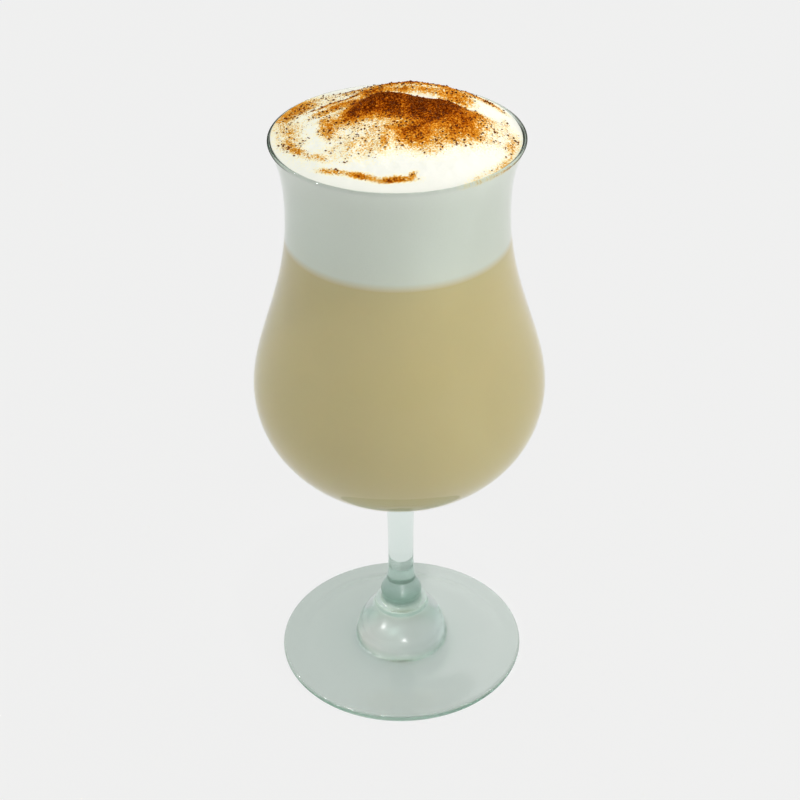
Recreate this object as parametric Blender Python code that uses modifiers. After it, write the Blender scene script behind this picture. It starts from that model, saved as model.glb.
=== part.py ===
# Chai latte in a stemmed tulip glass, modelled in metres with +Z up.
# The origin is on the glass's axis, on the surface that its foot stands on.
# Three solids: the glass, the milky tea, and the milk foam that is heaped over the rim.

import math
import random

import bmesh
import bpy
from mathutils import Matrix, Vector
from mathutils.geometry import interpolate_bezier


# Glass: heights above the table and radii from the axis
GLASS_HEIGHT = 0.1810
RIM_RADIUS = 0.0354
RIM_FLARE = math.radians(24.0)
NECK_HEIGHT = 0.1592
NECK_RADIUS = 0.0316
BELLY_HEIGHT = 0.1019
BELLY_RADIUS = 0.0432
BOWL_BOTTOM = 0.0654

# Glass: wall thickness
RIM_WALL = 0.0011
NECK_WALL = 0.0016
BELLY_WALL = 0.0019
BOTTOM_WALL = 0.0042

# Glass: how far each curve runs straight on from its ends, before it turns
FLARE_PULLS = (0.0109, 0.0056)
SHOULDER_PULLS = (0.0255, 0.0151)
BELLY_PULL = 0.545
BOTTOM_PULL = 0.585

# Glass: stem, collar, boss and foot
STEM_TOP_HEIGHT = 0.0600
STEM_TOP_RADIUS = 0.0043
STEM_WAIST_HEIGHT = 0.0390
STEM_WAIST_RADIUS = 0.0040
STEM_FOOT_HEIGHT = 0.0285
STEM_FOOT_RADIUS = 0.0043
COLLAR_HEIGHT = 0.0226
COLLAR_BASE_HEIGHT = 0.0208
COLLAR_RADIUS = 0.0065
BOSS_TOP_HEIGHT = 0.0180
BOSS_TOP_RADIUS = 0.0083
BOSS_HEIGHT = 0.0070
BOSS_RADIUS = 0.0140
BOSS_BASE_HEIGHT = 0.0040
BOSS_BASE_RADIUS = 0.0168
FOOT_RADIUS = 0.0386
FOOT_EDGE = 0.0023
RING_OUTER = 0.0373
RING_INNER = 0.0347
PUNT_RISE = 0.0014
BOWL_FILLET = 0.0088

# Drink: the level between tea and foam, and the clearance between touching pieces
TEA_LEVEL = 0.1496
GAP = 0.0003

# Foam: where it leaves the wall, and how high its plain dome rises above that
FOAM_EDGE = 0.1804
DOME_RISE = 0.0036
DOME_POWER = 2.4

# Foam: soft lumps and folds as (x, y, rise, half length, half width, turn in degrees)
FOAM_LUMPS = (
    (0.0070, -0.0005, 0.0052, 0.0205, 0.0165, -6.0),
    (-0.0050, 0.0056, 0.0036, 0.0085, 0.0046, 8.0),
    (0.0120, 0.0020, 0.0016, 0.0090, 0.0045, -16.0),
    (0.0060, 0.0180, 0.0043, 0.0230, 0.0070, -8.0),
    (0.0070, 0.0095, -0.0022, 0.0130, 0.0026, -8.0),
    (-0.0165, 0.0110, 0.0018, 0.0110, 0.0032, 20.0),
    (-0.0210, 0.0010, 0.0010, 0.0070, 0.0042, 10.0),
    (-0.0200, -0.0060, 0.0006, 0.0040, 0.0030, 20.0),
    (-0.0100, -0.0140, 0.0010, 0.0080, 0.0060, 0.0),
    (-0.0040, -0.0150, 0.0006, 0.0018, 0.0040, -15.0),
    (0.0200, -0.0110, 0.0007, 0.0060, 0.0035, -20.0),
    (0.0120, -0.0240, 0.0007, 0.0110, 0.0050, 15.0),
    (-0.0060, -0.0280, -0.0009, 0.0110, 0.0018, -8.0),
    (0.0240, 0.0160, 0.0008, 0.0050, 0.0080, 30.0),
    (-0.0290, 0.0060, 0.0006, 0.0040, 0.0090, -20.0),
)

# Foam: cinnamon clumps, fused where the powder lies thickest
CLUMP_COUNT = 70
CLUMP_RADII = (0.0006, 0.0012)
CLUMP_SPACING = 0.0021
CLUMP_FLATNESS = 0.6
CLUMP_REACH = 0.0300
CINNAMON_SEED = 11

# Cinnamon zones as (x, y, half length, half width, turn in degrees, share of the powder)
CINNAMON_ZONES = (
    (0.0050, 0.0010, 0.0160, 0.0070, -8.0, 1.00),
    (0.0090, -0.0100, 0.0110, 0.0070, -5.0, 0.70),
    (0.0070, 0.0130, 0.0130, 0.0040, -6.0, 0.60),
    (-0.0150, 0.0010, 0.0070, 0.0050, 50.0, 0.50),
    (-0.0120, -0.0120, 0.0110, 0.0080, 0.0, 0.15),
    (-0.0290, 0.0060, 0.0030, 0.0100, 0.0, 0.45),
    (-0.0080, -0.0270, 0.0120, 0.0020, -10.0, 0.80),
)

# Facets: steps round the axis, and segments along each stretch of a profile
TURN_STEPS = 48
BOWL_SEGMENTS = 9
SHOULDER_SEGMENTS = 6
FLARE_SEGMENTS = 4
SHORT_SEGMENTS = 3
FOAM_RING = 0.0022


def clear_scene():
    """Removes whatever the scene holds."""
    for thing in list(bpy.data.objects):
        bpy.data.objects.remove(thing, do_unlink=True)


def new_collection(name):
    collection = bpy.data.collections.new(name)
    bpy.context.scene.collection.children.link(collection)
    return collection


def material(name, colour, roughness, transmission=0.0, ior=1.5):
    """A Principled material with the piece's colour and finish."""
    made = bpy.data.materials.new(name)
    made.use_nodes = True
    shader = made.node_tree.nodes["Principled BSDF"]
    shader.inputs["Base Color"].default_value = (*colour, 1.0)
    shader.inputs["Roughness"].default_value = roughness
    shader.inputs["Metallic"].default_value = 0.0
    shader.inputs["Transmission Weight"].default_value = transmission
    shader.inputs["IOR"].default_value = ior
    made.diffuse_color = (*colour, 1.0)
    return made


def point(radius, height):
    """A profile point in the plane of X and Z."""
    return Vector((radius, 0.0, height))


def curve(start, start_pull, end_pull, end, segments):
    """A smooth stretch of profile, without its first point. The pulls are vectors."""
    points = interpolate_bezier(start, start + start_pull, end + end_pull, end, segments + 1)
    return [Vector(place) for place in points[1:]]


def arc(centre, radius, first, last, segments):
    """A round stretch of profile from one angle to another, with both its ends."""
    angles = [first + (last - first) * step / segments for step in range(segments + 1)]
    return [centre + radius * point(math.cos(angle), math.sin(angle)) for angle in angles]


def bowl_half(rim, neck, belly, bottom):
    """One face of the bowl's wall, from its bottom on the axis up to the rim."""
    up = point(0.0, 1.0)
    out = point(1.0, 0.0)
    flare = point(math.sin(RIM_FLARE), math.cos(RIM_FLARE))
    belly_pull = -BELLY_PULL * (belly.z - bottom.z) * up
    bottom_pull = BOTTOM_PULL * belly.x * out
    points = [bottom.copy()]
    points += curve(bottom, bottom_pull, belly_pull, belly, BOWL_SEGMENTS)
    points += curve(belly, SHOULDER_PULLS[1] * up, -SHOULDER_PULLS[0] * up, neck, SHOULDER_SEGMENTS)
    points += curve(neck, FLARE_PULLS[0] * up, -FLARE_PULLS[1] * flare, rim, FLARE_SEGMENTS)
    return points


def inner_wall():
    """The wall's inner face, from the bottom of the bowl up to the foot of the lip."""
    return bowl_half(
        point(RIM_RADIUS - RIM_WALL, GLASS_HEIGHT - RIM_WALL / 2),
        point(NECK_RADIUS - NECK_WALL, NECK_HEIGHT),
        point(BELLY_RADIUS - BELLY_WALL, BELLY_HEIGHT),
        point(0.0, BOWL_BOTTOM + BOTTOM_WALL),
    )


def outer_wall():
    """The wall's outer face, from the bottom of the bowl up to the foot of the lip."""
    return bowl_half(
        point(RIM_RADIUS, GLASS_HEIGHT - RIM_WALL / 2),
        point(NECK_RADIUS, NECK_HEIGHT),
        point(BELLY_RADIUS, BELLY_HEIGHT),
        point(0.0, BOWL_BOTTOM),
    )


def stem_profile(bowl_end, bowl_direction):
    """Down from the bowl: its fillet, the waisted stem, the collar and the domed boss."""
    up = point(0.0, 1.0)
    out = point(1.0, 0.0)
    stem_top = point(STEM_TOP_RADIUS, STEM_TOP_HEIGHT)
    waist = point(STEM_WAIST_RADIUS, STEM_WAIST_HEIGHT)
    stem_foot = point(STEM_FOOT_RADIUS, STEM_FOOT_HEIGHT)
    collar = point(COLLAR_RADIUS, COLLAR_HEIGHT)
    collar_base = point(COLLAR_RADIUS, COLLAR_BASE_HEIGHT)
    boss_top = point(BOSS_TOP_RADIUS, BOSS_TOP_HEIGHT)
    boss = point(BOSS_RADIUS, BOSS_HEIGHT)
    boss_base = point(BOSS_BASE_RADIUS, BOSS_BASE_HEIGHT)
    stem_pull = (STEM_TOP_HEIGHT - STEM_WAIST_HEIGHT) / 3
    collar_pull = (STEM_FOOT_HEIGHT - COLLAR_HEIGHT) / 2
    boss_drop = BOSS_TOP_HEIGHT - BOSS_HEIGHT
    base_drop = (BOSS_HEIGHT - BOSS_BASE_HEIGHT) / 2

    points = curve(bowl_end, 0.0030 * bowl_direction, 0.0030 * up, stem_top, SHORT_SEGMENTS)
    points += curve(stem_top, -stem_pull * up, stem_pull * up, waist, SHORT_SEGMENTS)
    points += [stem_foot]
    points += curve(stem_foot, -collar_pull * up, collar_pull * up, collar, SHORT_SEGMENTS)
    points += [collar_base, boss_top]
    points += curve(boss_top, 0.0022 * out, 0.5 * boss_drop * up, boss, SHORT_SEGMENTS + 1)
    points += curve(boss, -base_drop * up, -0.0020 * out, boss_base, SHORT_SEGMENTS)
    return points


def foot_profile():
    """Out along the foot, round its edge, and back under it to the axis."""
    edge_centre = point(FOOT_RADIUS - FOOT_EDGE / 2, FOOT_EDGE / 2)
    points = [point(0.0270, 0.0031)]
    points += arc(edge_centre, FOOT_EDGE / 2, math.radians(80.0), math.radians(-50.0), 4)
    points += [point(RING_OUTER, 0.0), point(RING_INNER, 0.0)]
    points += [point(0.0300, 0.7 * PUNT_RISE), point(0.0, PUNT_RISE)]
    return points


def glass_profile():
    """The whole section of the glass: up the inside, over the lip and down the outside."""
    lip_centre = point(RIM_RADIUS - RIM_WALL / 2, GLASS_HEIGHT - RIM_WALL / 2)
    inside = inner_wall()
    outside = [place for place in reversed(outer_wall()) if place.x > BOWL_FILLET]
    lip = arc(lip_centre, RIM_WALL / 2, math.pi, 0.0, 4)
    bowl_direction = (outside[-1] - outside[-2]).normalized()
    points = inside[:-1] + lip + outside[1:]
    points += stem_profile(outside[-1], bowl_direction)
    points += foot_profile()
    return points


def inset(points, distance):
    """The inner wall's points, moved off the glass and into the drink."""
    moved = []
    last = len(points) - 1
    for index, place in enumerate(points):
        along = points[min(index + 1, last)] - points[max(index - 1, 0)]
        along.normalize()
        shifted = place + distance * point(-along.z, along.x)
        moved.append(point(max(shifted.x, 0.0), shifted.z))
    moved[0].x = 0.0
    return moved


def between(points, low, high):
    """The stretch of a rising profile between two heights, cut straight at both."""
    kept = []
    for here, there in zip(points, points[1:]):
        if low <= here.z <= high:
            kept.append(here)
        for level in (low, high):
            if here.z < level < there.z:
                kept.append(here.lerp(there, (level - here.z) / (there.z - here.z)))
    return kept


def chai_profile():
    """Across the tea's top, then down the wall to the bottom of the bowl."""
    side = between(inset(inner_wall(), GAP), 0.0, TEA_LEVEL)
    return [point(0.0, TEA_LEVEL)] + side[::-1]


def foam_profile():
    """Across the foam's top in even rings, down the wall, and in to the axis."""
    side = between(inset(inner_wall(), GAP), TEA_LEVEL + GAP, FOAM_EDGE)
    edge = side[-1]
    ring_count = int(edge.x / FOAM_RING)
    rings = [point(edge.x * ring / ring_count, FOAM_EDGE) for ring in range(ring_count)]
    return rings + side[::-1] + [point(0.0, TEA_LEVEL + GAP)]


def edge_radius():
    """The radius at which the foam's top meets the wall."""
    return max(place.x for place in foam_profile())


def in_oval(x, y, centre_x, centre_y, half_length, half_width, turn):
    """How far a place lies from an oval's centre, where 1 is the oval itself."""
    angle = math.radians(turn)
    along = (x - centre_x) * math.cos(angle) + (y - centre_y) * math.sin(angle)
    across = (y - centre_y) * math.cos(angle) - (x - centre_x) * math.sin(angle)
    return math.hypot(along / half_length, across / half_width)


def foam_height(x, y, edge):
    """The height of the foam's top over a place, with its lumps and folds."""
    share = min(math.hypot(x, y) / edge, 1.0)
    fade = 1.0 - share ** 6
    height = FOAM_EDGE + DOME_RISE * (1.0 - share ** DOME_POWER)
    for centre_x, centre_y, rise, half_length, half_width, turn in FOAM_LUMPS:
        far = in_oval(x, y, centre_x, centre_y, half_length, half_width, turn)
        height += fade * rise * math.exp(-far * far)
    return height


def cinnamon_share(x, y):
    """How thick the cinnamon lies over a place, from 0 to 1."""
    share = 0.0
    for centre_x, centre_y, half_length, half_width, turn, amount in CINNAMON_ZONES:
        far = in_oval(x, y, centre_x, centre_y, half_length, half_width, turn)
        share = max(share, amount * math.exp(-far ** 4))
    return share


def turned(name, profile, collection, finish):
    """A closed solid made by turning a profile round the Z axis."""
    mesh = bpy.data.meshes.new(name)
    edges = [(index, index + 1) for index in range(len(profile) - 1)]
    mesh.from_pydata([tuple(place) for place in profile], edges, [])
    piece = bpy.data.objects.new(name, mesh)
    collection.objects.link(piece)
    screw = piece.modifiers.new("Turn", "SCREW")
    screw.axis = "Z"
    screw.angle = 2.0 * math.pi
    screw.steps = TURN_STEPS
    screw.render_steps = TURN_STEPS
    screw.use_merge_vertices = True
    screw.merge_threshold = 0.00001
    apply_modifiers(piece)
    piece.data.materials.append(finish)
    shade_round(piece)
    return piece


def apply_modifiers(piece):
    """Puts the evaluated mesh in place of the piece's own."""
    graph = bpy.context.evaluated_depsgraph_get()
    mesh = bpy.data.meshes.new_from_object(piece.evaluated_get(graph))
    mesh.name = piece.name
    piece.modifiers.clear()
    piece.data = mesh


def shade_round(piece):
    piece.data.shade_smooth()
    piece.data.set_sharp_from_angle(angle=math.radians(40.0))


def raise_foam(foam, edge):
    """Lifts the flat top of the foam to its dome, lumps and folds."""
    for vertex in foam.data.vertices:
        if vertex.co.z > FOAM_EDGE - GAP / 10:
            vertex.co.z = foam_height(vertex.co.x, vertex.co.y, edge)


def clump_places(draw, edge):
    """Seeded places for the clumps, closer where the cinnamon lies thicker."""
    places = []
    while len(places) < CLUMP_COUNT:
        angle = draw.uniform(0.0, 2.0 * math.pi)
        radius = CLUMP_REACH * math.sqrt(draw.random())
        x = radius * math.cos(angle)
        y = radius * math.sin(angle)
        free = all(math.hypot(x - other.x, y - other.y) > CLUMP_SPACING for other in places)
        if free and draw.random() < cinnamon_share(x, y):
            places.append(Vector((x, y, foam_height(x, y, edge))))
    return places


def fuse_clumps(foam, edge):
    """Joins small flattened clumps of cinnamon to the foam as one body."""
    draw = random.Random(CINNAMON_SEED)
    clumps = new_collection("cinnamon_clumps")
    for number, place in enumerate(clump_places(draw, edge)):
        radius = draw.uniform(*CLUMP_RADII)
        spin = Matrix.Rotation(draw.uniform(0.0, math.pi), 4, "Z")
        flatten = Matrix.Diagonal((1.0, draw.uniform(0.7, 1.0), CLUMP_FLATNESS, 1.0))
        grid = bmesh.new()
        bmesh.ops.create_icosphere(grid, subdivisions=1, radius=radius)
        bmesh.ops.transform(grid, matrix=Matrix.Translation(place) @ spin @ flatten, verts=grid.verts)
        mesh = bpy.data.meshes.new(f"clump_{number:02d}")
        grid.to_mesh(mesh)
        grid.free()
        clumps.objects.link(bpy.data.objects.new(mesh.name, mesh))
    union = foam.modifiers.new("Clumps", "BOOLEAN")
    union.operation = "UNION"
    union.operand_type = "COLLECTION"
    union.collection = clumps
    union.solver = "MANIFOLD"
    apply_modifiers(foam)
    for clump in list(clumps.objects):
        bpy.data.objects.remove(clump, do_unlink=True)
    bpy.data.collections.remove(clumps)


def build_glass(collection):
    finish = material("clear_glass", (0.86, 0.93, 0.90), 0.03, transmission=1.0)
    turned("glass", glass_profile(), collection, finish)


def build_chai(collection):
    finish = material("milky_tea", (0.47, 0.38, 0.20), 0.35)
    turned("chai", chai_profile(), collection, finish)


def build_foam(collection):
    finish = material("milk_foam", (0.93, 0.91, 0.84), 0.75)
    foam = turned("foam", foam_profile(), collection, finish)
    edge = edge_radius()
    raise_foam(foam, edge)
    fuse_clumps(foam, edge)
    shade_round(foam)


def main():
    clear_scene()
    latte = new_collection("chai_latte")
    build_glass(latte)
    build_chai(latte)
    build_foam(latte)


main()
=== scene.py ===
# Chai latte in a stemmed tulip glass: the finish of every surface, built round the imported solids.
# Metres, +Z up, the same frame as the solids. The camera looks along +Y, down at the heaped foam.

import math
import random

import bpy
import numpy as np
from mathutils import Euler, Matrix, Vector, noise


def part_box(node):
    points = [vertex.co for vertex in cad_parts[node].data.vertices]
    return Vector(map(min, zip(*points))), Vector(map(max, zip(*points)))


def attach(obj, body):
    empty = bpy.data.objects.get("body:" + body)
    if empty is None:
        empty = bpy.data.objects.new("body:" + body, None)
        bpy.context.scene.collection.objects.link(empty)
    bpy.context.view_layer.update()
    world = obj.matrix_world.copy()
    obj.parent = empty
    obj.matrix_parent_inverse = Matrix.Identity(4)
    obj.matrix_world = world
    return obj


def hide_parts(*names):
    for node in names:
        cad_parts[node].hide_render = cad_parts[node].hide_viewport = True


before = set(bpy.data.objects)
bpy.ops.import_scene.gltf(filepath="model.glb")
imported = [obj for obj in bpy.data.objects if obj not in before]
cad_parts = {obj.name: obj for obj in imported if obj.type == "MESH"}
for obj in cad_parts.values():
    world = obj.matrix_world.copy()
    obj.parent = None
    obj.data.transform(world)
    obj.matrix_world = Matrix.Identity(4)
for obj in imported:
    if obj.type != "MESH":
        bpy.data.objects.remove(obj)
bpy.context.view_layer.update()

# Sizes read from the solids, which keep a gap between the drink and the glass
SOLID_GAP = 0.0003
GLASS_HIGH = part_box("glass")[1]
CHAI_LOW, CHAI_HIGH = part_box("chai")
GLASS_HEIGHT = GLASS_HIGH.z
BELLY_RADIUS = GLASS_HIGH.x
INNER_BELLY_RADIUS = CHAI_HIGH.x + SOLID_GAP
INNER_BOTTOM = CHAI_LOW.z - SOLID_GAP
TEA_LEVEL = CHAI_HIGH.z

# Glass: the rest of its driving dimensions
RIM_RADIUS = 0.0354
RIM_WALL = 0.0011
RIM_FLARE = 24.0
NECK_HEIGHT = 0.1592
NECK_RADIUS = 0.0316
INNER_NECK_RADIUS = 0.0300
BELLY_HEIGHT = 0.1019
BOWL_BOTTOM = 0.0654
FOOT_RADIUS = 0.0386
FOOT_EDGE = 0.0023
PUNT_RISE = 0.0014

# Glass: how far each curve of the bowl runs straight on from its ends, before it turns
BOTTOM_PULL = 0.585
BELLY_PULL = 0.545
OUTER_BELLY_PULL = 0.01745
SHOULDER_PULLS = (0.0255, 0.0151)
FLARE_PULLS = (0.0109, 0.0056)
LIP_PULL = 0.0003
FOOT_TOP_PULL = 0.0034
RING_PULL = 0.0008
ROUND_PULL = 0.5523

# Glass: from the bowl's fillet down the stem, the collar, the fold, the boss and the foot's top,
# as (radius, height, heading in degrees, pull back, pull ahead)
STEM_KNOTS = (
    (0.0090, BOWL_BOTTOM + 0.00075, -170.5, 0.0207, 0.0030),
    (0.0043, 0.0600, -90, 0.0030, 0.0070),
    (0.0040, 0.0390, -90, 0.0070, 0.0040),
    (0.0044, 0.0285, -84, 0.0050, 0.0020),
    (0.0065, 0.0226, -84, 0.0020, 0.0006),
    (0.0062, 0.0206, -94, 0.0008, 0.0010),
    (0.0077, 0.0186, -30, 0.0010, 0.0004),
    (0.0084, 0.0178, -80, 0.0004, 0.0004),
    (0.0088, 0.0168, -46, 0.0004, 0.0018),
    (0.0140, 0.0070, -87, 0.0050, 0.0014),
    (0.0168, 0.0040, -10, 0.0020, 0.0040),
    (0.0270, 0.0031, -5, 0.0034, FOOT_TOP_PULL),
)

# Glass: under the foot, from the ring it stands on to the hollow's middle, in the same way
UNDER_KNOTS = (
    (0.0347, 0.0, 180, RING_PULL, 0.0012),
    (0.0290, 0.0010, 175, 0.0018, 0.0090),
    (0.0, PUNT_RISE, 180, 0.0090, 0.0),
)

# Drink: how far tea and foam reach into the wall, so that no air shows between them
REACH = 0.00015

# Drink: the pull of the straight line that closes the tea's section over the top
CLOSING_PULL = 0.001

# Drink: the sharpest bend that is still shaded smooth, in degrees
TEA_SMOOTH = 40.0
FOAM_SMOOTH = 50.0

# Turned pieces: steps round the axis, and points along each stretch of a section
GLASS_STEPS = 128
FOAM_STEPS = 384
SECTION_POINTS = 12
FOAM_RINGS = 112
WELD = 0.000002

# Foam: its edge on the wall, and its plain dome
FOAM_EDGE = 0.1803
DOME_RISE = 0.0036
DOME_POWER = 2.4

# Foam: how far it rolls out and up over the lip, and how the roll starts at the back and the left
ROLL_OUT = 0.0007
ROLL_UP = 0.0008
ROLL_LEFT = 0.5
ROLL_MIDDLE = 0.5
ROLL_CHANGE = 0.9

# Foam: how fast the lumps fade to the edge, and how close to the edge each roll starts, as powers
FADE_POWER = 6
ROLL_UP_POWER = 12
ROLL_OUT_POWER = 40
WALL_SHARE = 0.999
NEAR_AXIS = 0.0001
LEVEL_LIMIT = 0.00001

# Foam: its lumps and folds as (x, y, rise, half length, half width, turn in degrees)
FOAM_LUMPS = (
    (0.0070, -0.0005, 0.0052, 0.0205, 0.0165, -6.0),
    (-0.0050, 0.0056, 0.0036, 0.0085, 0.0046, 8.0),
    (0.0120, 0.0020, 0.0016, 0.0090, 0.0045, -16.0),
    (0.0060, 0.0180, 0.0043, 0.0230, 0.0070, -8.0),
    (0.0070, 0.0095, -0.0022, 0.0130, 0.0026, -8.0),
    (-0.0165, 0.0110, 0.0018, 0.0110, 0.0032, 20.0),
    (-0.0210, 0.0010, 0.0010, 0.0070, 0.0042, 10.0),
    (-0.0200, -0.0060, 0.0006, 0.0040, 0.0030, 20.0),
    (-0.0100, -0.0140, 0.0010, 0.0080, 0.0060, 0.0),
    (-0.0040, -0.0150, 0.0006, 0.0018, 0.0040, -15.0),
    (0.0200, -0.0110, 0.0007, 0.0060, 0.0035, -20.0),
    (0.0120, -0.0240, 0.0007, 0.0110, 0.0050, 15.0),
    (-0.0060, -0.0280, -0.0009, 0.0110, 0.0018, -8.0),
    (0.0240, 0.0160, 0.0008, 0.0050, 0.0080, 30.0),
    (-0.0290, 0.0060, 0.0006, 0.0040, 0.0090, -20.0),
)

# Foam: fine relief as (size of its features, depth, seed)
FOAM_RELIEF = ((0.0060, 0.00030, 0.0), (0.0022, 0.00014, 3.7), (0.0009, 0.00006, 7.4))
NOISE_GAIN = 1.6

# Cinnamon: where it lies, as (x, y, half length, half width, turn in degrees, thickness)
CINNAMON_ZONES = (
    (0.0055, 0.0050, 0.0160, 0.0030, -9.0, 0.70),
    (0.0062, 0.0012, 0.0160, 0.0050, -8.0, 0.86),
    (0.0070, -0.0032, 0.0090, 0.0034, -5.0, 0.50),
    (0.0115, -0.0078, 0.0105, 0.0052, -5.0, 0.42),
    (0.0060, -0.0118, 0.0066, 0.0056, -22.0, 0.38),
    (0.0170, -0.0070, 0.0052, 0.0058, 10.0, 0.32),
    (0.0022, -0.0090, 0.0030, 0.0060, 8.0, 0.30),
    (-0.0055, 0.0075, 0.0050, 0.0055, 10.0, 0.70),
    (-0.0088, 0.0032, 0.0062, 0.0048, 25.0, 0.58),
    (-0.0128, 0.0004, 0.0040, 0.0032, 30.0, 0.36),
    (-0.0186, -0.0042, 0.0024, 0.0046, 12.0, 0.40),
    (-0.0195, 0.0012, 0.0026, 0.0022, 0.0, 0.22),
    (-0.0030, -0.0122, 0.0012, 0.0052, -6.0, 0.28),
    (-0.0078, -0.0085, 0.0075, 0.0085, 0.0, 0.14),
    (-0.0120, -0.0160, 0.0110, 0.0040, 0.0, 0.09),
    (0.0040, 0.0137, 0.0090, 0.0012, -10.0, 0.40),
    (0.0165, 0.0118, 0.0048, 0.0026, -22.0, 0.52),
    (0.0050, 0.0172, 0.0150, 0.0018, -7.0, 0.50),
    (-0.0065, 0.0150, 0.0045, 0.0028, 0.0, 0.42),
    (0.0060, 0.0220, 0.0170, 0.0040, -6.0, 0.40),
    (0.0215, 0.0160, 0.0060, 0.0020, -28.0, 0.36),
    (-0.0160, 0.0088, 0.0075, 0.0018, 20.0, 0.42),
    (-0.0165, 0.0128, 0.0080, 0.0014, 20.0, 0.50),
    (-0.0170, 0.0190, 0.0090, 0.0040, 25.0, 0.12),
    (-0.0285, 0.0150, 0.0040, 0.0095, -30.0, 0.42),
    (-0.0300, 0.0020, 0.0030, 0.0060, -5.0, 0.17),
    (-0.0290, -0.0060, 0.0030, 0.0055, 12.0, 0.14),
    (-0.0283, -0.0085, 0.0012, 0.0036, 25.0, 0.26),
    (-0.0255, -0.0125, 0.0012, 0.0040, 35.0, 0.24),
    (-0.0212, -0.0165, 0.0012, 0.0030, 45.0, 0.22),
    (-0.0172, -0.0233, 0.0036, 0.0010, -18.0, 0.36),
    (-0.0095, -0.0262, 0.0036, 0.0010, -20.0, 0.50),
    (-0.0005, -0.0284, 0.0045, 0.0010, 0.0, 0.62),
    (0.0040, -0.0270, 0.0013, 0.0008, 50.0, 0.55),
    (0.0312, -0.0078, 0.0018, 0.0050, -10.0, 0.24),
    (0.0295, -0.0165, 0.0015, 0.0040, -28.0, 0.21),
    (0.0240, -0.0240, 0.0080, 0.0016, 46.0, 0.15),
    (0.0265, 0.0150, 0.0045, 0.0015, -40.0, 0.28),
    (0.0295, 0.0040, 0.0010, 0.0032, 0.0, 0.12),
    (0.0265, -0.0070, 0.0050, 0.0060, 0.0, 0.05),
    (-0.0260, -0.0040, 0.0030, 0.0080, 0.0, 0.05),
)

# Cinnamon: how steeply each zone ends, and its patches as (strength, size, seed), calmer where it is thick
ZONE_FALL = 0.8
ZONE_POWER = 3
PATCHES = ((0.42, 0.0042, 9.1), (0.34, 0.0016, 5.3))
PATCH_CALM = 0.88

# Cinnamon: grains as (piece, material, count, smallest and largest size, least thickness they fall on,
# power of their crowding, darkest colour, lightest colour)
GRAINS = (
    ("cinnamon_flakes", "cinnamon_flake", 720, (0.00048, 0.00092), 0.04, 0.6, "#3A1806", "#7A3A12"),
    ("cinnamon_dust", "cinnamon_dust", 8500, (0.00018, 0.00034), 0.03, 1.2, "#7A3A0E", "#B8691E"),
)
GRAIN_SEED = 23

# Cinnamon: the thickness from which grains lie as close as they can, how near the wall they lie,
# and how many places are drawn at a time
THICK_ENOUGH = 0.35
GRAIN_REACH = 0.97
TRIES = 4000

# Cinnamon: a grain's proportions and chips, its lean and turn in radians, its stretch,
# and how far it stands proud of the foam
GRAIN_SHAPE = (1.0, 0.72, 0.5)
GRAIN_CHIPS = 0.12
GRAIN_CHIP_SEED = 4
GRAIN_LEAN = 0.6
GRAIN_TURN = 6.3
GRAIN_STRETCH = (0.7, 1.2)
GRAIN_PROUD = 0.12

# Camera: the photograph's viewpoint, in metres and degrees
CAMERA_PLACE = (0.00015, -0.43878, 0.38511)
CAMERA_TILT = 33.508
CAMERA_ROLL = 0.514
CAMERA_LENS = 79.18
SENSOR_WIDTH = 36.0
CAMERA_NEAR = 0.01

# Glass: the colour of its surfaces by height, from the foot plate by boss, collar, stem and bowl to the lip
# Painted shade: the darker foot plate, the dark ring at the boss's foot, and the dark green collar and lower
# stem, each partly the glass's own green. Painted highlight: the clear white band on the fold under the
# collar. The lip is a little darker.
GLASS_COLOUR_AND_PAINTED_LIGHT = (
    (0.0032, "#C9D2CD"),
    (0.0040, "#B7C5BF"),
    (0.0052, "#C6CECB"),
    (0.0070, "#E9E2E8"),
    (0.0166, "#E6DFE5"),
    (0.0174, "#FFFFFF"),
    (0.0186, "#FFFFFF"),
    (0.0204, "#728F80"),
    (0.0230, "#7D9C8D"),
    (0.0250, "#A5B7B1"),
    (0.0330, "#E8EFEC"),
    (0.0620, "#F6FAF8"),
    (0.0700, "#FFFFFF"),
    (0.1790, "#FFFFFF"),
    (0.1802, "#DCE5E0"),
)

# Glass: its roughness by height, because the tooled boss is a little duller than the blown bowl
GLASS_ROUGHNESS = (
    (0.0034, 0.09),
    (0.0042, 0.26),
    (0.0140, 0.22),
    (0.0180, 0.26),
    (0.0260, 0.20),
    (0.0330, 0.04),
    (0.0600, 0.03),
)

# Glass: a painted dark line of shade on the lip where it turns away from the eye, only at its left and right
# ends, as how far it has turned, how high and how far to the side
LIP_TURNED = (0.44, 0.66)
LIP_HEIGHTS = (0.1798, 0.1803)
LIP_ENDS = (0.0280, 0.0330)
LIP_PAINTED_SHADE = "#2A312A"

# Glass: the tint of the light that it lets through, by its thickness and in the shadow
GLASS_TINT = "#93D1BC"
GLASS_TINT_DENSITY = 16.0
GLASS_SHADOW = "#F0F5F2"

# Tea: its darkest and lightest colour, and the scale of its clouds in features a metre
TEA_COLOURS = ("#CFC08C", "#D6C694")
TEA_CLOUDS = 45.0

# Foam and cinnamon: features a metre of the powder's grains, of the bubbles and of the bark's shades
POWDER_SCALE = 1800.0
BUBBLE_SCALE = 1600.0
BARK_SCALE = 900.0

# Cinnamon: its colours from bare foam to a thick layer, and how strongly its grains differ
CINNAMON_COLOURS = (
    (0.00, "#EEEDE8"),
    (0.05, "#F4EFDA"),
    (0.15, "#F3E1B5"),
    (0.28, "#DFA94E"),
    (0.44, "#DA8C20"),
    (0.62, "#B25B0B"),
    (0.80, "#763002"),
    (1.00, "#4A1A01"),
)
GRAIN_CONTRAST = 1.9
CALM_CONTRAST = 1.3

# Foam: the colour of its side from the tea up to the lip: tea-coloured near the tea, where milk has soaked
# into it, then a greyer, greener white than its top
FOAM_SIDE_COLOURS = (
    (0.000, "#D7C89E"),
    (0.035, "#DDD8C5"),
    (0.070, "#E2E6DE"),
)
FOAM_SIDE_TOP = (0.1788, 0.1798)

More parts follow.
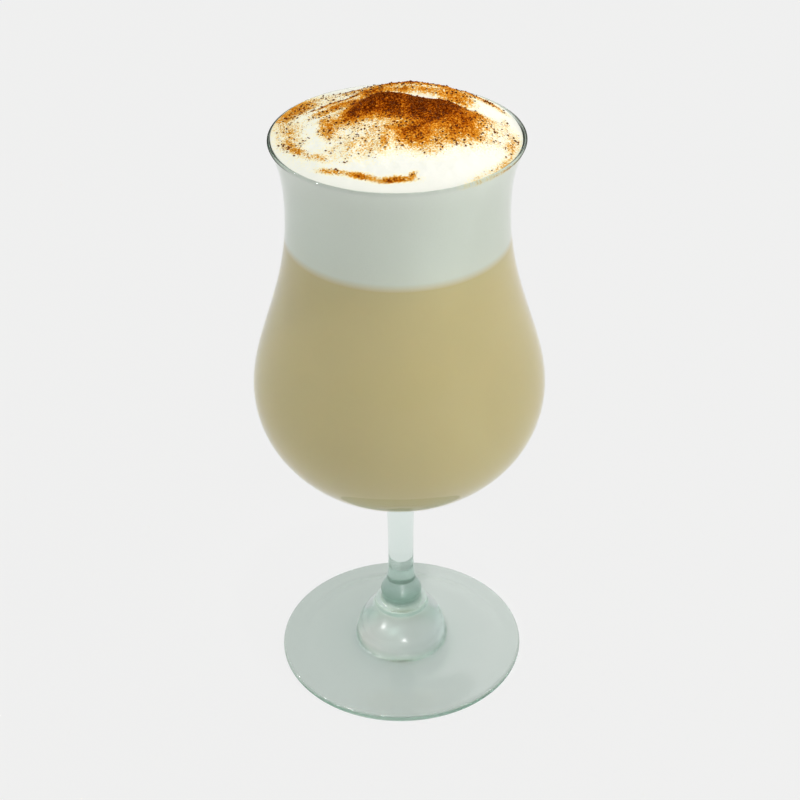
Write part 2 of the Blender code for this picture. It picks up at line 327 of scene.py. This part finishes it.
# Stage and light
FLOOR_SIZE = 40.0
FLOOR_DROP = 0.0001
FLOOR_SHADING = 0.05
FLOOR_SEEN = 0.823
FLOOR_FALLING = 1.13
WORLD_SEEN = 0.80
WORLD_FALLING = 0.85
WORLD_LEFT = 1.00
WORLD_RIGHT = 1.13
WORLD_TINTS = ((0.0, "#EEF9F3"), (1.0, "#FFF8EE"))

# Lamps: a spotlight over the foam as (place, target, cone in degrees, power)
OVERHEAD = ((0.10, -0.16, 1.20), (0, 0, 0.18), 4.4, 14.0)

# Lamps: a window to the right that lights matt things only, and a card behind that only reflections show,
# as (place, target, size, power)
RIGHT_WINDOW = ((0.90, -0.30, 0.32), (0, 0, 0.10), 0.6, 3.5)
BACK_CARD = ((0.74, 1.67, 1.12), (0, 0, 0), 1.40, 9.0)

# Lamps: the edge and the size of every spotlight, and how often light may bounce in the glass
SPOT_BLEND = 0.3
SPOT_SIZE = 0.03
BOUNCES = 32

# Small lamps a metre off, each mirrored at the camera by the patch of the boss that is turned to the left
# by the first angle and up by the second, then the lamp's radius and power
SPARKS = (
    (8.0, 49.0, 0.16, 120.0),
    (24.0, 49.0, 0.16, 200.0),
    (40.0, 49.0, 0.16, 200.0),
    (56.0, 49.0, 0.16, 120.0),
    (30.0, 33.0, 0.04, 12.0),
    (-4.0, 20.0, 0.04, 12.0),
    (60.0, 24.0, 0.14, 14.0),
)
SPARK_TARGET = (0.0, 0.0, 0.015)
SPARK_CONE = 4.0
CAMERA_WAY = Vector((0.0, -0.834, 0.552))


def linear(colour):
    """An sRGB hex colour as linear red, green, blue and alpha."""
    parts = [int(colour[start:start + 2], 16) / 255 for start in (1, 3, 5)]
    return tuple(c / 12.92 if c <= 0.04045 else ((c + 0.055) / 1.055) ** 2.4 for c in parts) + (1.0,)


def add_node(tree, kind, settings=None, links=None):
    """Adds a node, sets its fields and inputs, and links its inputs from other nodes' outputs."""
    made = tree.nodes.new(kind)
    for name, value in (settings or {}).items():
        if name in made.inputs:
            made.inputs[name].default_value = value
        else:
            setattr(made, name, value)
    for name, source in (links or {}).items():
        tree.links.new(source, made.inputs[name])
    return made


def new_material(name):
    """An empty node material and its output node."""
    made = bpy.data.materials.new(name)
    made.use_nodes = True
    made.node_tree.nodes.clear()
    output = add_node(made.node_tree, "ShaderNodeOutputMaterial")
    return made, made.node_tree, output


def deselect_all():
    if bpy.context.object and bpy.context.object.mode != "OBJECT":
        bpy.ops.object.mode_set(mode="OBJECT")
    bpy.ops.object.select_all(action="DESELECT")


def knot(radius, height, heading, back, ahead):
    """A point of a section: its place, the way the line goes there, and its two pulls."""
    way = Vector((math.cos(math.radians(heading)), 0.0, math.sin(math.radians(heading))))
    place = Vector((radius, 0.0, height))
    return place, place - back * way, place + ahead * way


def section(name, knots):
    """Draws a section as a bezier curve and makes it a chain of edges."""
    deselect_all()
    bpy.ops.curve.primitive_bezier_curve_add(location=(0.0, 0.0, 0.0))
    curve = bpy.context.object
    curve.name = name
    curve.data.resolution_u = SECTION_POINTS
    points = curve.data.splines[0].bezier_points
    points.add(len(knots) - len(points))
    for point, (place, before, after) in zip(points, knots):
        point.handle_left_type = point.handle_right_type = "FREE"
        point.co, point.handle_left, point.handle_right = place, before, after
    bpy.ops.object.convert(target="MESH")
    return bpy.context.object


def spin_round(piece, steps):
    """Turns a section round the axis into a closed body whose faces point out."""
    bpy.ops.object.mode_set(mode="EDIT")
    bpy.ops.mesh.select_all(action="SELECT")
    bpy.ops.mesh.spin(steps=steps, angle=2 * math.pi, center=(0, 0, 0), axis=(0, 0, 1))
    bpy.ops.mesh.select_all(action="SELECT")
    bpy.ops.mesh.remove_doubles(threshold=WELD)
    bpy.ops.mesh.normals_make_consistent(inside=False)
    bpy.ops.object.mode_set(mode="OBJECT")
    bpy.ops.object.shade_smooth()
    return piece


def inner_knots(reach):
    """The wall's inner face from the bottom of the bowl to the lip, moved into the wall."""
    drop = BELLY_HEIGHT - INNER_BOTTOM
    wide = INNER_BELLY_RADIUS + reach
    return [
        knot(0.0, INNER_BOTTOM - reach, 0, 0.0, BOTTOM_PULL * wide),
        knot(wide, BELLY_HEIGHT, 90, BELLY_PULL * drop, SHOULDER_PULLS[1]),
        knot(INNER_NECK_RADIUS + reach, NECK_HEIGHT, 90, SHOULDER_PULLS[0], FLARE_PULLS[0]),
        knot(RIM_RADIUS - RIM_WALL + reach, GLASS_HEIGHT - RIM_WALL / 2, 90 - RIM_FLARE,
             FLARE_PULLS[1], LIP_PULL),
    ]


def make_glass():
    """The whole glass: bowl, lip, stem, collar, boss and foot, turned as one body."""
    lip = RIM_WALL / 2
    edge = FOOT_EDGE / 2
    lip_pull = ROUND_PULL * lip
    edge_pull = ROUND_PULL * edge
    knots = inner_knots(0.0)
    knots += [
        knot(RIM_RADIUS - lip, GLASS_HEIGHT, 0, lip_pull, lip_pull),
        knot(RIM_RADIUS, GLASS_HEIGHT - lip, -90 - RIM_FLARE, LIP_PULL, FLARE_PULLS[1]),
        knot(NECK_RADIUS, NECK_HEIGHT, -90, FLARE_PULLS[0], SHOULDER_PULLS[0]),
        knot(BELLY_RADIUS, BELLY_HEIGHT, -90, SHOULDER_PULLS[1], OUTER_BELLY_PULL),
    ]
    knots += [knot(*numbers) for numbers in STEM_KNOTS]
    knots += [
        knot(FOOT_RADIUS - edge, FOOT_EDGE, -2, FOOT_TOP_PULL, edge_pull),
        knot(FOOT_RADIUS, edge, -90, edge_pull, edge_pull),
        knot(FOOT_RADIUS - edge, 0.0, 180, edge_pull, RING_PULL),
    ]
    knots += [knot(*numbers) for numbers in UNDER_KNOTS]
    piece = spin_round(section("tulip_glass", knots), GLASS_STEPS)
    piece.data.materials.append(soda_lime_glass())
    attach(piece, "root")
    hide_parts("glass")
    return piece


def make_chai():
    """The milky tea: the bowl's filling, cut level where the foam starts."""
    knots = inner_knots(REACH)
    top = GLASS_HEIGHT - RIM_WALL / 2
    knots.append(knot(0.0, top, 180, CLOSING_PULL, 0.0))
    place, before, _ = knots[-2]
    knots[-2] = place, before, place - Vector((CLOSING_PULL, 0.0, 0.0))
    piece = spin_round(section("milky_chai", knots), GLASS_STEPS)
    bpy.ops.object.mode_set(mode="EDIT")
    bpy.ops.mesh.select_all(action="SELECT")
    bpy.ops.mesh.bisect(plane_co=(0, 0, TEA_LEVEL), plane_no=(0, 0, 1), clear_outer=True, use_fill=True)
    bpy.ops.mesh.select_all(action="SELECT")
    bpy.ops.mesh.normals_make_consistent(inside=False)
    bpy.ops.object.mode_set(mode="OBJECT")
    bpy.ops.object.shade_smooth_by_angle(angle=math.radians(TEA_SMOOTH))
    piece.data.materials.append(milky_tea())
    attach(piece, "root")
    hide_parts("chai")
    return piece


def oval_reach(x, y, zone):
    """How far places lie from an oval's centre, where 1 is the oval itself."""
    centre_x, centre_y, half_length, half_width, turn = zone
    angle = math.radians(turn)
    along = (x - centre_x) * math.cos(angle) + (y - centre_y) * math.sin(angle)
    across = (y - centre_y) * math.cos(angle) - (x - centre_x) * math.sin(angle)
    return np.hypot(along / half_length, across / half_width)


def rough(x, y, size, seed):
    """Soft uneven values from about -1 to 1, whose features have one size."""
    places = [Vector((a / size, b / size, seed)) for a, b in zip(x, y)]
    return np.array([noise.noise(place) for place in places]) * NOISE_GAIN


def roll_share(x, y):
    """How far the foam rolls over the lip, from 0 at the front to 1 at the back and the left."""
    ahead = (y - ROLL_LEFT * x) / np.maximum(np.hypot(x, y), NEAR_AXIS)
    return np.clip(ROLL_MIDDLE + ROLL_CHANGE * ahead, 0.0, 1.0)


def foam_height(x, y, edge):
    """The height of the foam's top over places, with its lumps, folds and fine relief."""
    share = np.minimum(np.hypot(x, y) / edge, 1.0)
    fade = 1.0 - share ** FADE_POWER
    height = FOAM_EDGE + DOME_RISE * (1.0 - share ** DOME_POWER)
    height = height + ROLL_UP * roll_share(x, y) * share ** ROLL_UP_POWER * (share < WALL_SHARE)
    for centre_x, centre_y, rise, half_length, half_width, turn in FOAM_LUMPS:
        far = oval_reach(x, y, (centre_x, centre_y, half_length, half_width, turn))
        height = height + fade * rise * np.exp(-far ** 2)
    for size, depth, seed in FOAM_RELIEF:
        height = height + fade * depth * rough(x, y, size, seed)
    return height


def cinnamon_thickness(x, y):
    """How thick the cinnamon lies over places, from 0 to 1, in uneven patches."""
    bare = np.ones_like(x)
    for centre_x, centre_y, half_length, half_width, turn, amount in CINNAMON_ZONES:
        far = oval_reach(x, y, (centre_x, centre_y, half_length, half_width, turn))
        bare = bare * (1.0 - amount * np.exp(-ZONE_FALL * far ** ZONE_POWER))
    thickness = 1.0 - bare
    patchy = sum(strength * rough(x, y, size, seed) for strength, size, seed in PATCHES)
    return np.clip(thickness * (1.0 + patchy * (1.0 - PATCH_CALM * thickness)), 0.0, 1.0)


def make_foam():
    """The milk foam, whose side follows the wall and whose top is heaped. Returns its edge's radius."""
    piece = section("milk_foam", inner_knots(REACH))
    bpy.ops.object.mode_set(mode="EDIT")
    bpy.ops.mesh.select_all(action="SELECT")
    bpy.ops.mesh.bisect(plane_co=(0, 0, TEA_LEVEL), plane_no=(0, 0, 1), clear_inner=True)
    bpy.ops.mesh.select_all(action="SELECT")
    bpy.ops.mesh.bisect(plane_co=(0, 0, FOAM_EDGE), plane_no=(0, 0, 1), clear_outer=True)
    bpy.ops.object.mode_set(mode="OBJECT")
    mesh = piece.data
    places = sorted((v.co.copy() for v in mesh.vertices), key=lambda place: place.z)
    edge = places[-1].x
    rings = [Vector((edge * ring / FOAM_RINGS, 0.0, FOAM_EDGE)) for ring in range(FOAM_RINGS)]
    chain = [Vector((0.0, 0.0, TEA_LEVEL))] + places + rings[::-1]
    mesh.clear_geometry()
    mesh.from_pydata([tuple(p) for p in chain], [(i, i + 1) for i in range(len(chain) - 1)], [])
    spin_round(piece, FOAM_STEPS)
    lift_foam(piece, edge)
    bpy.ops.object.shade_smooth_by_angle(angle=math.radians(FOAM_SMOOTH))
    piece.data.materials.append(milk_foam())
    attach(piece, "root")
    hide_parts("foam")
    return edge


def lift_foam(piece, edge):
    """Raises the foam's top to its heap, and stores how thick the cinnamon lies on it."""
    mesh = piece.data
    places = np.empty(len(mesh.vertices) * 3, np.float32)
    mesh.vertices.foreach_get("co", places)
    places = places.reshape(-1, 3)
    top = places[:, 2] > FOAM_EDGE - LEVEL_LIMIT
    x, y = places[top, 0].astype(float), places[top, 1].astype(float)
    places[top, 2] = foam_height(x, y, edge)
    share = np.hypot(x, y) / edge
    roll = roll_share(x, y) * share ** ROLL_OUT_POWER * (share < WALL_SHARE)
    spread = 1.0 + ROLL_OUT / edge * roll
    places[top, 0] = x * spread
    places[top, 1] = y * spread
    mesh.vertices.foreach_set("co", places.ravel())
    dust = np.zeros(len(places), np.float32)
    dust[top] = cinnamon_thickness(x, y)
    layer = mesh.attributes.new("cinnamon", "FLOAT", "POINT")
    layer.data.foreach_set("value", dust)
    mesh.update()


def model_grain():
    """One flat, chipped grain of cinnamon a unit across, as corners and faces."""
    deselect_all()
    bpy.ops.mesh.primitive_ico_sphere_add(subdivisions=1, radius=0.5)
    grain = bpy.context.object
    bpy.ops.object.mode_set(mode="EDIT")
    bpy.ops.mesh.select_all(action="SELECT")
    bpy.ops.transform.resize(value=GRAIN_SHAPE, center_override=(0, 0, 0))
    bpy.ops.transform.vertex_random(offset=GRAIN_CHIPS, seed=GRAIN_CHIP_SEED)
    bpy.ops.object.mode_set(mode="OBJECT")
    corners = np.array([v.co for v in grain.data.vertices])
    faces = np.array([f.vertices for f in grain.data.polygons])
    bpy.data.objects.remove(grain, do_unlink=True)
    return corners, faces


def scatter_places(draw, count, edge, least, power):
    """Seeded places for grains, thicker where more cinnamon lies."""
    found = []
    while len(found) < count:
        angles = [draw.uniform(0, 2 * math.pi) for _ in range(TRIES)]
        radii = [edge * GRAIN_REACH * math.sqrt(draw.random()) for _ in range(TRIES)]
        x = np.array([r * math.cos(a) for r, a in zip(radii, angles)])
        y = np.array([r * math.sin(a) for r, a in zip(radii, angles)])
        thickness = cinnamon_thickness(x, y)
        chance = np.where(thickness > least, np.minimum(thickness / THICK_ENOUGH, 1.0) ** power, 0.0)
        keep = np.array([draw.random() for _ in range(TRIES)]) < chance
        found += list(zip(x[keep], y[keep]))
    return np.array(found[:count])


def make_grains(name, count, sizes, least, power, edge, finish, seed):
    """A joined mesh of grains that lie on the foam, each turned and sized by itself."""
    draw = random.Random(seed)
    corners, faces = model_grain()
    spots = scatter_places(draw, count, edge, least, power)
    heights = foam_height(spots[:, 0], spots[:, 1], edge)
    all_corners, all_faces = [], []
    for number, ((x, y), z) in enumerate(zip(spots, heights)):
        size = draw.uniform(*sizes)
        lean_x = draw.uniform(-GRAIN_LEAN, GRAIN_LEAN)
        lean_y = draw.uniform(-GRAIN_LEAN, GRAIN_LEAN)
        turn = np.array(Euler((lean_x, lean_y, draw.uniform(0, GRAIN_TURN))).to_matrix())
        stretch = np.array((draw.uniform(*GRAIN_STRETCH), 1.0, draw.uniform(*GRAIN_STRETCH)))
        all_corners.append((corners * stretch * size) @ turn.T + (x, y, z + GRAIN_PROUD * size))
        all_faces.append(faces + number * len(corners))
    mesh = bpy.data.meshes.new(name)
    mesh.from_pydata(np.concatenate(all_corners).tolist(), [], np.concatenate(all_faces).tolist())
    piece = bpy.data.objects.new(name, mesh)
    bpy.context.scene.collection.objects.link(piece)
    piece.data.materials.append(finish)
    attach(piece, "root")
    return piece


def soda_lime_glass():
    """Soda-lime glass, blown and fire-polished: clear and greener where it is thick, with painted shade on
    the foot, the collar and the lip's ends, and a painted highlight under the collar.
    """
    made, tree, output = new_material("soda_lime_glass")
    place = add_node(tree, "ShaderNodeTexCoord")
    split = add_node(tree, "ShaderNodeSeparateXYZ", links={"Vector": place.outputs["Object"]})
    share = add_node(tree, "ShaderNodeMath", {"operation": "DIVIDE"})
    tree.links.new(split.outputs["Z"], share.inputs[0])
    share.inputs[1].default_value = GLASS_HEIGHT
    # Its colour by height holds painted shade on the foot plate, the boss's foot, the collar and the lower
    # stem, and a painted highlight band under the collar
    glass_colour_and_painted_light = add_node(tree, "ShaderNodeValToRGB", links={"Fac": share.outputs[0]})
    fill_ramp(glass_colour_and_painted_light, [(height / GLASS_HEIGHT, colour) for height, colour in GLASS_COLOUR_AND_PAINTED_LIGHT])
    worked = add_node(tree, "ShaderNodeValToRGB", links={"Fac": share.outputs[0]})
    fill_ramp(worked, [(height / GLASS_HEIGHT, roughness) for height, roughness in GLASS_ROUGHNESS])
    clear = add_node(tree, "ShaderNodeBsdfPrincipled", {"IOR": 1.50, "Transmission Weight": 1.0},
                     {"Base Color": glass_colour_and_painted_light.outputs["Color"], "Roughness": worked.outputs["Color"]})
    facing = add_node(tree, "ShaderNodeLayerWeight", {"Blend": 0.5})
    turned = add_node(tree, "ShaderNodeMapRange", {
        "From Min": LIP_TURNED[0], "From Max": LIP_TURNED[1],
    }, {"Value": facing.outputs["Facing"]})
    lip = add_node(tree, "ShaderNodeMapRange", {
        "From Min": LIP_HEIGHTS[0], "From Max": LIP_HEIGHTS[1],
    }, {"Value": split.outputs["Z"]})
    aside = add_node(tree, "ShaderNodeMath", {"operation": "ABSOLUTE"})
    tree.links.new(split.outputs["X"], aside.inputs[0])
    ends = add_node(tree, "ShaderNodeMapRange", {
        "From Min": LIP_ENDS[0], "From Max": LIP_ENDS[1],
    }, {"Value": aside.outputs[0]})
    edge = add_node(tree, "ShaderNodeMath", {"operation": "MULTIPLY"})
    tree.links.new(turned.outputs["Result"], edge.inputs[0])
    tree.links.new(lip.outputs["Result"], edge.inputs[1])
    line = add_node(tree, "ShaderNodeMath", {"operation": "MULTIPLY"})
    tree.links.new(edge.outputs[0], line.inputs[0])
    tree.links.new(ends.outputs["Result"], line.inputs[1])
    # Painted shade: a dark matt line mixed in along the lip's left and right ends, where they turn away from
    # the eye
    dark = add_node(tree, "ShaderNodeBsdfDiffuse", {"Color": linear(LIP_PAINTED_SHADE)})
    lip_painted_shade_mix = add_node(tree, "ShaderNodeMixShader", links={"Fac": line.outputs[0]})
    tree.links.new(clear.outputs[0], lip_painted_shade_mix.inputs[1])
    tree.links.new(dark.outputs[0], lip_painted_shade_mix.inputs[2])
    passing = add_node(tree, "ShaderNodeBsdfTransparent", {"Color": linear(GLASS_SHADOW)})
    path = add_node(tree, "ShaderNodeLightPath")
    mixed = add_node(tree, "ShaderNodeMixShader", links={"Fac": path.outputs["Is Shadow Ray"]})
    tree.links.new(lip_painted_shade_mix.outputs[0], mixed.inputs[1])
    tree.links.new(passing.outputs[0], mixed.inputs[2])
    tint = add_node(tree, "ShaderNodeVolumeAbsorption", {
        "Color": linear(GLASS_TINT), "Density": GLASS_TINT_DENSITY,
    })
    tree.links.new(mixed.outputs[0], output.inputs["Surface"])
    tree.links.new(tint.outputs[0], output.inputs["Volume"])
    return made


def milky_tea():
    """Brewed black tea with steamed milk: opaque beige, cloudy, soft light inside it."""
    made, tree, output = new_material("milky_tea")
    place = add_node(tree, "ShaderNodeTexCoord")
    cloud = add_node(tree, "ShaderNodeTexNoise", {"Scale": TEA_CLOUDS, "Detail": 3.0, "Roughness": 0.5},
                     {"Vector": place.outputs["Object"]})
    colour = add_node(tree, "ShaderNodeMix", {"data_type": "RGBA"}, {"Factor": cloud.outputs["Fac"]})
    set_mix(colour, linear(TEA_COLOURS[0]), linear(TEA_COLOURS[1]))
    body = add_node(tree, "ShaderNodeBsdfPrincipled", {
        "Roughness": 0.35, "IOR": 1.35, "Subsurface Weight": 0.25,
        "Subsurface Radius": (0.004, 0.003, 0.002), "Subsurface Scale": 1.0,
    }, {"Base Color": colour.outputs["Result"]})
    tree.links.new(body.outputs[0], output.inputs["Surface"])
    return made


def set_mix(made, first, second):
    """Sets the two colours of a colour Mix node, whose sockets share their names with others."""
    made.inputs[6].default_value = first
    made.inputs[7].default_value = second


def fill_ramp(made, stops):
    """Gives a ramp its places, and the colour or the plain value at each."""
    elements = made.color_ramp.elements
    while len(elements) < len(stops):
        elements.new(0.5)
    for element, (position, value) in zip(elements, stops):
        element.position = position
        element.color = linear(value) if isinstance(value, str) else (value,) * 3 + (1.0,)


def milk_foam():
    """Steamed milk foam: matt white with fine bubbles, stained and covered by ground cinnamon."""
    made, tree, output = new_material("milk_foam")
    place = add_node(tree, "ShaderNodeTexCoord")
    dust = add_node(tree, "ShaderNodeAttribute", {"attribute_name": "cinnamon"})
    powder = add_node(tree, "ShaderNodeTexNoise", {
        "Scale": POWDER_SCALE, "Detail": 1.0, "Roughness": 0.6,
    }, {"Vector": place.outputs["Object"]})
    grain = add_node(tree, "ShaderNodeMath", {"operation": "SUBTRACT"})
    tree.links.new(powder.outputs["Fac"], grain.inputs[0])
    spread = add_node(tree, "ShaderNodeMath", {"operation": "POWER"})
    tree.links.new(dust.outputs["Fac"], spread.inputs[0])
    calm = add_node(tree, "ShaderNodeMapRange", {"To Min": GRAIN_CONTRAST, "To Max": CALM_CONTRAST},
                    {"Value": dust.outputs["Fac"]})
    swing = add_node(tree, "ShaderNodeMath", {"operation": "MULTIPLY"})
    tree.links.new(grain.outputs[0], swing.inputs[0])
    tree.links.new(spread.outputs[0], swing.inputs[1])
    level = add_node(tree, "ShaderNodeMath", {"operation": "MULTIPLY_ADD"})
    tree.links.new(swing.outputs[0], level.inputs[0])
    tree.links.new(calm.outputs["Result"], level.inputs[1])
    tree.links.new(dust.outputs["Fac"], level.inputs[2])
    ramp = add_node(tree, "ShaderNodeValToRGB", links={"Fac": level.outputs[0]})
    fill_ramp(ramp, CINNAMON_COLOURS)
    split = add_node(tree, "ShaderNodeSeparateXYZ", links={"Vector": place.outputs["Object"]})
    share = add_node(tree, "ShaderNodeMapRange", {
        "From Min": TEA_LEVEL, "From Max": GLASS_HEIGHT,
    }, {"Value": split.outputs["Z"]})
    side = add_node(tree, "ShaderNodeValToRGB", links={"Fac": share.outputs["Result"]})
    fill_ramp(side, FOAM_SIDE_COLOURS)
    above = add_node(tree, "ShaderNodeMapRange", {
        "From Min": FOAM_SIDE_TOP[0], "From Max": FOAM_SIDE_TOP[1],
    }, {"Value": split.outputs["Z"]})
    colour = add_node(tree, "ShaderNodeMix", {"data_type": "RGBA"}, {"Factor": above.outputs["Result"]})
    tree.links.new(side.outputs["Color"], colour.inputs[6])
    tree.links.new(ramp.outputs["Color"], colour.inputs[7])
    bubbles = add_node(tree, "ShaderNodeTexNoise", {"Scale": BUBBLE_SCALE, "Detail": 3.0},
                       {"Vector": place.outputs["Object"]})
    bump = add_node(tree, "ShaderNodeBump", {"Strength": 0.25, "Distance": 0.0002},
                    {"Height": bubbles.outputs["Fac"]})
    body = add_node(tree, "ShaderNodeBsdfPrincipled", {
        "Roughness": 0.7, "IOR": 1.35, "Specular IOR Level": 0.0, "Subsurface Weight": 0.03,
        "Subsurface Radius": (0.003, 0.003, 0.0025), "Subsurface Scale": 1.0,
    }, {"Base Color": colour.outputs["Result"], "Normal": bump.outputs["Normal"]})
    tree.links.new(body.outputs[0], output.inputs["Surface"])
    return made


def ground_cinnamon(name, first, second):
    """Ground cassia bark: dull brown chips, each a little lighter or darker."""
    made, tree, output = new_material(name)
    place = add_node(tree, "ShaderNodeTexCoord")
    change = add_node(tree, "ShaderNodeTexNoise", {"Scale": BARK_SCALE, "Detail": 1.0},
                      {"Vector": place.outputs["Object"]})
    colour = add_node(tree, "ShaderNodeMix", {"data_type": "RGBA"}, {"Factor": change.outputs["Fac"]})
    set_mix(colour, linear(first), linear(second))
    bark = add_node(tree, "ShaderNodeBsdfPrincipled", {
        "Roughness": 0.85, "IOR": 1.45, "Specular IOR Level": 0.1,
    }, {"Base Color": colour.outputs["Result"]})
    tree.links.new(bark.outputs[0], output.inputs["Surface"])
    return made


def lit_twice(tree, seen, falling):
    """A strength that is one value where it is seen or mirrored, and another where it lights matt things."""
    path = add_node(tree, "ShaderNodeLightPath")
    matt = add_node(tree, "ShaderNodeMath", {"operation": "GREATER_THAN"})
    tree.links.new(path.outputs["Diffuse Depth"], matt.inputs[0])
    matt.inputs[1].default_value = 0.5
    return add_node(tree, "ShaderNodeMapRange", {"To Min": seen, "To Max": falling},
                    {"Value": matt.outputs[0]})


def pale_floor():
    """A smooth pale grey board, larger than the view, lit evenly so that only a faint shadow shows."""
    made, tree, output = new_material("pale_board")
    board = add_node(tree, "ShaderNodeBsdfDiffuse", {"Color": (FLOOR_SHADING,) * 3 + (1.0,)})
    strength = lit_twice(tree, FLOOR_SEEN, FLOOR_FALLING)
    glow = add_node(tree, "ShaderNodeEmission", links={"Strength": strength.outputs["Result"]})
    both = add_node(tree, "ShaderNodeAddShader")
    tree.links.new(board.outputs[0], both.inputs[0])
    tree.links.new(glow.outputs[0], both.inputs[1])
    tree.links.new(both.outputs[0], output.inputs["Surface"])
    made.cycles.emission_sampling = "NONE"
    deselect_all()
    bpy.ops.mesh.primitive_plane_add(size=FLOOR_SIZE, location=(0, 0, -FLOOR_DROP))
    floor = bpy.context.object
    floor.name = "floor"
    floor.data.materials.append(made)


def snoot(name, place, target, cone, power):
    """A spotlight with a narrow cone, in degrees, at a place, facing a target."""
    lamp = bpy.data.lights.new(name, "SPOT")
    lamp.energy = power
    lamp.spot_size = math.radians(cone)
    lamp.spot_blend = SPOT_BLEND
    lamp.shadow_soft_size = SPOT_SIZE
    holder = bpy.data.objects.new(name, lamp)
    holder.location = place
    way = Vector(target) - Vector(place)
    holder.rotation_euler = way.to_track_quat("-Z", "Y").to_euler()
    bpy.context.scene.collection.objects.link(holder)
    return holder


def softbox(name, place, target, size, power):
    """A square area light at a place, facing a target."""
    lamp = bpy.data.lights.new(name, "AREA")
    lamp.shape = "SQUARE"
    lamp.size = size
    lamp.energy = power
    holder = bpy.data.objects.new(name, lamp)
    holder.location = place
    way = Vector(target) - Vector(place)
    holder.rotation_euler = way.to_track_quat("-Z", "Y").to_euler()
    bpy.context.scene.collection.objects.link(holder)
    return holder


def studio():
    """The world's even light, and the lamps."""
    scene = bpy.context.scene
    scene.view_settings.view_transform = "Standard"
    world = bpy.data.worlds.new("studio")
    world.use_nodes = True
    world.cycles.sampling_method = "NONE"
    scene.world = world
    tree = world.node_tree
    tree.nodes.clear()
    place = add_node(tree, "ShaderNodeTexCoord")
    split = add_node(tree, "ShaderNodeSeparateXYZ", links={"Vector": place.outputs["Generated"]})
    sideways = add_node(tree, "ShaderNodeMapRange", {
        "From Min": -1.0, "From Max": 1.0, "To Min": WORLD_LEFT, "To Max": WORLD_RIGHT,
    }, {"Value": split.outputs["X"]})
    strength = lit_twice(tree, WORLD_SEEN, WORLD_FALLING)
    total = add_node(tree, "ShaderNodeMath", {"operation": "MULTIPLY"})
    tree.links.new(sideways.outputs["Result"], total.inputs[0])
    tree.links.new(strength.outputs["Result"], total.inputs[1])
    across = add_node(tree, "ShaderNodeMapRange", {"From Min": -1.0, "From Max": 1.0},
                      {"Value": split.outputs["X"]})
    tint = add_node(tree, "ShaderNodeValToRGB", links={"Fac": across.outputs["Result"]})
    fill_ramp(tint, WORLD_TINTS)
    light = add_node(tree, "ShaderNodeBackground",
                     links={"Color": tint.outputs["Color"], "Strength": total.outputs[0]})
    output = add_node(tree, "ShaderNodeOutputWorld")
    tree.links.new(light.outputs[0], output.inputs["Surface"])
    snoot("overhead", *OVERHEAD)
    window = softbox("right_window", *RIGHT_WINDOW)
    window.visible_glossy = False
    window.visible_transmission = False
    card = softbox("back_card", *BACK_CARD)
    card.visible_diffuse = card.visible_camera = card.visible_transmission = False
    for number, (turn, rise, size, power) in enumerate(SPARKS):
        half_way = Matrix.Rotation(math.radians(-turn), 3, "Z") @ Vector((
            0.0, -math.cos(math.radians(rise)), math.sin(math.radians(rise)),
        ))
        way = 2 * half_way.dot(CAMERA_WAY) * half_way - CAMERA_WAY
        spark = snoot(f"spark_{number}", way + Vector(SPARK_TARGET), SPARK_TARGET, SPARK_CONE, power)
        spark.data.shadow_soft_size = size
        spark.visible_diffuse = spark.visible_transmission = False
    scene.cycles.max_bounces = BOUNCES
    scene.cycles.transmission_bounces = BOUNCES
    scene.cycles.glossy_bounces = BOUNCES


def make_camera():
    """The camera at the photograph's viewpoint."""
    lens = bpy.data.cameras.new("camera")
    lens.lens = CAMERA_LENS
    lens.sensor_width = SENSOR_WIDTH
    lens.clip_start = CAMERA_NEAR
    camera = bpy.data.objects.new("camera", lens)
    camera.location = CAMERA_PLACE
    tilt = Matrix.Rotation(math.radians(90.0 - CAMERA_TILT), 3, "X")
    roll = Matrix.Rotation(math.radians(-CAMERA_ROLL), 3, "Z")
    camera.rotation_euler = (tilt @ roll).to_euler()
    bpy.context.scene.collection.objects.link(camera)
    bpy.context.scene.camera = camera


make_camera()
pale_floor()
studio()
make_glass()
make_chai()
foam_edge_radius = make_foam()
for number, (name, bark, count, sizes, least, power, dark, light) in enumerate(GRAINS):
    finish = ground_cinnamon(bark, dark, light)
    make_grains(name, count, sizes, least, power, foam_edge_radius, finish, GRAIN_SEED + number)
